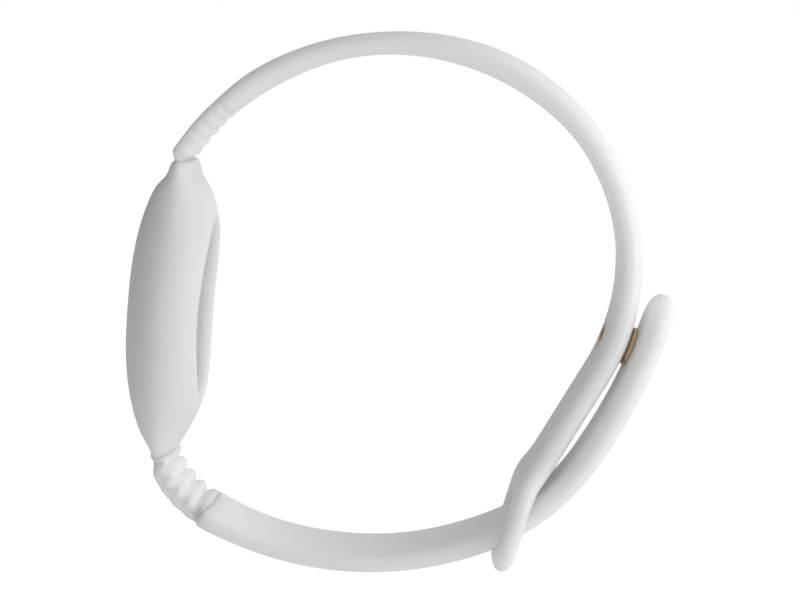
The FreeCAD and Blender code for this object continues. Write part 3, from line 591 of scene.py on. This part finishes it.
def buildSpecks():
    # Sparse dust specks: small cells whose centres are near, kept only where a noise is high.
    tree, given, result = newGroup(
        "dustSpecks",
        [("Vector", "NodeSocketVector", None), ("Density", "NodeSocketFloat", 900.0),
         ("Size", "NodeSocketFloat", 0.12)],
        [("Mask", "NodeSocketFloat")])
    cell = addNode(tree, "ShaderNodeTexVoronoi")
    near = addNode(tree, "ShaderNodeMath", operation="LESS_THAN")
    pick = addNode(tree, "ShaderNodeMath", operation="GREATER_THAN")
    pick.inputs[1].default_value = 0.86
    both = addNode(tree, "ShaderNodeMath", operation="MULTIPLY")
    split = addNode(tree, "ShaderNodeSeparateColor")
    tree.links.new(given.outputs["Vector"], cell.inputs["Vector"])
    tree.links.new(given.outputs["Density"], cell.inputs["Scale"])
    tree.links.new(cell.outputs["Distance"], near.inputs[0])
    tree.links.new(given.outputs["Size"], near.inputs[1])
    tree.links.new(cell.outputs["Color"], split.inputs["Color"])
    tree.links.new(split.outputs["Red"], pick.inputs[0])
    tree.links.new(near.outputs["Value"], both.inputs[0])
    tree.links.new(pick.outputs["Value"], both.inputs[1])
    tree.links.new(both.outputs["Value"], result.inputs["Mask"])
    return tree


grain, specks = buildGrain(), buildSpecks()

finishes = {
    "silicone": {"slot": "silicone", "light": (0.93, 0.93, 0.928), "dark": (0.905, 0.905, 0.905),
                 "rough": (0.42, 0.56), "fineness": 2600, "bump": 0.16, "depth": 0.00005,
                 "subsurface": 0.9, "metal": 0},
    "brass": {"slot": "brass", "light": (0.66, 0.52, 0.32), "dark": (0.46, 0.33, 0.18),
              "rough": (0.30, 0.48), "fineness": 5200, "bump": 0.12, "depth": 0.00002,
              "subsurface": 0, "metal": 0.8},
    "steel": {"slot": "steel", "light": (0.62, 0.63, 0.64), "dark": (0.45, 0.46, 0.47),
              "rough": (0.25, 0.42), "fineness": 5200, "bump": 0.1, "depth": 0.00002,
              "subsurface": 0, "metal": 1},
    "contactSteel": {"slot": "contact_steel", "light": (0.70, 0.70, 0.71), "dark": (0.56, 0.56, 0.58),
                     "rough": (0.16, 0.32), "fineness": 4200, "bump": 0.08, "depth": 0.00002,
                     "subsurface": 0, "metal": 1},
    "casePlastic": {"slot": "case_plastic", "light": (0.80, 0.80, 0.79), "dark": (0.74, 0.74, 0.73),
                    "rough": (0.42, 0.60), "fineness": 3400, "bump": 0.25, "depth": 0.00004,
                    "subsurface": 0, "metal": 0},
    "gasket": {"slot": "gasket", "light": (0.09, 0.09, 0.09), "dark": (0.05, 0.05, 0.05),
               "rough": (0.55, 0.7), "fineness": 3000, "bump": 0.2, "depth": 0.00004,
               "subsurface": 0, "metal": 0},
    "board": {"slot": "board", "light": (0.05, 0.26, 0.12), "dark": (0.03, 0.17, 0.08),
              "rough": (0.3, 0.45), "fineness": 2400, "bump": 0.15, "depth": 0.00003,
              "subsurface": 0, "metal": 0},
    "resistor": {"slot": "resistor", "light": (0.55, 0.42, 0.26), "dark": (0.42, 0.30, 0.17),
                 "rough": (0.35, 0.5), "fineness": 2400, "bump": 0.15, "depth": 0.00003,
                 "subsurface": 0, "metal": 0},
    "insulator": {"slot": "insulator", "light": (0.72, 0.70, 0.62), "dark": (0.60, 0.58, 0.50),
                  "rough": (0.45, 0.6), "fineness": 3000, "bump": 0.2, "depth": 0.00003,
                  "subsurface": 0, "metal": 0},
}


dustShade = 0.93
siliconeScatter = {"scale": 0.0045, "radius": (1.0, 0.96, 0.92)}


def buildMaterial(name, v):
    material = bpy.data.materials.new(name)
    material.use_nodes = True
    tree = material.node_tree
    shader = tree.nodes["Principled BSDF"]
    place = addNode(tree, "ShaderNodeTexCoord")
    fine = addNode(tree, "ShaderNodeGroup", node_tree=grain)
    fine.inputs["Fineness"].default_value = v["fineness"]
    dust = addNode(tree, "ShaderNodeGroup", node_tree=specks)
    tint = addNode(tree, "ShaderNodeMix", data_type="RGBA")
    tint.inputs["A"].default_value = (*v["light"], 1)
    tint.inputs["B"].default_value = (*v["dark"], 1)
    dusty = addNode(tree, "ShaderNodeMix", data_type="RGBA")
    dusty.inputs["B"].default_value = tuple(dustShade * c for c in v["dark"]) + (1,)
    shine = addNode(tree, "ShaderNodeMapRange")
    shine.inputs["To Min"].default_value, shine.inputs["To Max"].default_value = v["rough"]
    bump = addNode(tree, "ShaderNodeBump")
    bump.inputs["Strength"].default_value = v["bump"]
    bump.inputs["Distance"].default_value = v["depth"]
    for group in (fine, dust):
        tree.links.new(place.outputs["Object"], group.inputs["Vector"])
    tree.links.new(fine.outputs["Mask"], tint.inputs["Factor"])
    tree.links.new(tint.outputs["Result"], dusty.inputs["A"])
    tree.links.new(dust.outputs["Mask"], dusty.inputs["Factor"])
    tree.links.new(dusty.outputs["Result"], shader.inputs["Base Color"])
    tree.links.new(fine.outputs["Mask"], shine.inputs["Value"])
    tree.links.new(shine.outputs["Result"], shader.inputs["Roughness"])
    tree.links.new(fine.outputs["Height"], bump.inputs["Height"])
    tree.links.new(bump.outputs["Normal"], shader.inputs["Normal"])
    shader.inputs["Metallic"].default_value = v["metal"]
    if v["subsurface"]:
        shader.inputs["Subsurface Weight"].default_value = v["subsurface"]
        shader.inputs["Subsurface Scale"].default_value = siliconeScatter["scale"]
        shader.inputs["Subsurface Radius"].default_value = siliconeScatter["radius"]
    return material


materials = {name: buildMaterial(name, v) for name, v in finishes.items()}
print("materials", len(materials))


# Each piece gets its finish and the CAD nodes that it stands for; all but the lower strap also get a
# body.
def finishPiece(piece, finish):
    piece.data.materials.clear()
    piece.data.materials.append(materials[finish])


def placePieces():
    for piece, body, stoodFor in (
            (pocketSleeve, "band", ("pod_sleeve", "pocket_lip")),
            (upperStrap, "band", ("upper_neck", "crown_strap", "side_strap", "keeper_loop",
                                  "punched_strap", "straight_strap")),
            (lowerNeck, "band", ("lower_neck",))):
        finishPiece(piece, "silicone")
        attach(piece, body)
        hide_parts(*stoodFor)
    finishPiece(lowerStrap, "silicone")
    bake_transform(lowerStrap)
    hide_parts("belly_strap", "slot_strap", "tail_bend", "strap_tail")
    finishPiece(brassStud, "brass")
    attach(brassStud, "tail")
    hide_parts("closure_stud")
    # the coil stands on its seat and moves with the capsule, on a mesh of its own
    finishPiece(contactSpring, "steel")
    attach(contactSpring, "capsule")
    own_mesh(contactSpring)
    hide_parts("contact_spring")


nodeFinish = {
    "stud_plate": "steel", "capsule_tray": "casePlastic", "capsule_cover": "casePlastic",
    "case_gasket": "gasket", "case_screws": "steel", "circuit_board": "board",
    "spring_seat": "contactSteel", "limiting_resistor": "resistor",
    "needle_block": "insulator", "discharge_needles": "steel", "skin_contact": "contactSteel",
}


def placeNodes():
    for name, finish in nodeFinish.items():
        finishPiece(nodes[name], finish)


placePieces()
placeNodes()
print("pieces placed")


# Floor and light.
studio = {"floorSize": 6.0, "background": 1.0, "floorGlow": 0.85, "floorFill": 0.45,
          "floorShade": 0.35, "bright": 1.1, "dim": 0.17, "brightSide": (0.97, 0.05, -0.15),
          "reach": (-0.80, 0.95)}


def buildStage(v):
    low = cadBox[0][2]
    half = v["floorSize"] / 2
    mesh = bpy.data.meshes.new("floor")
    mesh.from_pydata([(-half, -half, low), (half, -half, low), (half, half, low), (-half, half, low)],
                     [], [(0, 1, 2, 3)])
    floor = bpy.data.objects.new("floor", mesh)
    bpy.context.scene.collection.objects.link(floor)
    # a lit white table: even glow with a faint shade where the band stands
    material = bpy.data.materials.new("paleFloor")
    material.use_nodes = True
    shader = material.node_tree.nodes["Principled BSDF"]
    shader.inputs["Base Color"].default_value = (v["floorShade"],) * 3 + (1,)
    shader.inputs["Roughness"].default_value = 1.0
    shader.inputs["Specular IOR Level"].default_value = 0.0
    shader.inputs["Emission Color"].default_value = (1, 1, 1, 1)
    # the camera sees it white, and the band gets a softer fill from it
    path = addNode(material.node_tree, "ShaderNodeLightPath")
    glow = addNode(material.node_tree, "ShaderNodeMapRange")
    glow.inputs["To Min"].default_value = v["floorFill"]
    glow.inputs["To Max"].default_value = v["floorGlow"]
    material.node_tree.links.new(path.outputs["Is Camera Ray"], glow.inputs["Value"])
    material.node_tree.links.new(glow.outputs["Result"], shader.inputs["Emission Strength"])
    mesh.materials.append(material)


def buildWorld(v):
    # light that is strong from the right and weak from the left, and a white backdrop where the
    # camera looks past the floor
    world = bpy.data.worlds.new("studio")
    bpy.context.scene.world = world
    world.use_nodes = True
    tree = world.node_tree
    ambient = tree.nodes["Background"]
    ambient.inputs["Color"].default_value = (1, 1, 1, 1)
    place = addNode(tree, "ShaderNodeTexCoord")
    facing = addNode(tree, "ShaderNodeVectorMath", operation="DOT_PRODUCT")
    facing.inputs[1].default_value = Vector(v["brightSide"]).normalized()
    level = addNode(tree, "ShaderNodeMapRange", interpolation_type="SMOOTHSTEP")
    level.inputs["From Min"].default_value, level.inputs["From Max"].default_value = v["reach"]
    level.inputs["To Min"].default_value, level.inputs["To Max"].default_value = v["dim"], v["bright"]
    tree.links.new(place.outputs["Generated"], facing.inputs[0])
    tree.links.new(facing.outputs["Value"], level.inputs["Value"])
    tree.links.new(level.outputs["Result"], ambient.inputs["Strength"])
    white = addNode(tree, "ShaderNodeBackground", Strength=v["background"])
    white.inputs["Color"].default_value = (1, 1, 1, 1)
    path = addNode(tree, "ShaderNodeLightPath")
    mix = addNode(tree, "ShaderNodeMixShader")
    tree.links.new(path.outputs["Is Camera Ray"], mix.inputs[0])
    tree.links.new(ambient.outputs["Background"], mix.inputs[1])
    tree.links.new(white.outputs["Background"], mix.inputs[2])
    tree.links.new(mix.outputs["Shader"], tree.nodes["World Output"].inputs["Surface"])


softboxes = [
    {"name": "right", "place": (0.60, 0.10, 0.20), "size": 0.5, "power": 0.06},
    {"name": "top", "place": (0.12, 0.10, 0.60), "size": 0.6, "power": 0.03},
    {"name": "ring", "place": (0.20, -0.07, -0.02), "size": 0.10, "power": 0.12},
    {"name": "topFront", "place": (0.20, -0.42, 0.35), "size": 0.5, "power": 0.07},
]


def buildLights():
    for v in softboxes:
        data = bpy.data.lights.new(v["name"], "AREA")
        data.size = v["size"]
        data.energy = v["power"]
        lamp = bpy.data.objects.new(v["name"], data)
        bpy.context.scene.collection.objects.link(lamp)
        lamp.location = v["place"]
        lamp.rotation_euler = (-Vector(v["place"])).to_track_quat("-Z", "Y").to_euler()


buildStage(studio)
buildWorld(studio)
buildLights()
bpy.context.scene.view_settings.view_transform = "Standard"
print("stage set")
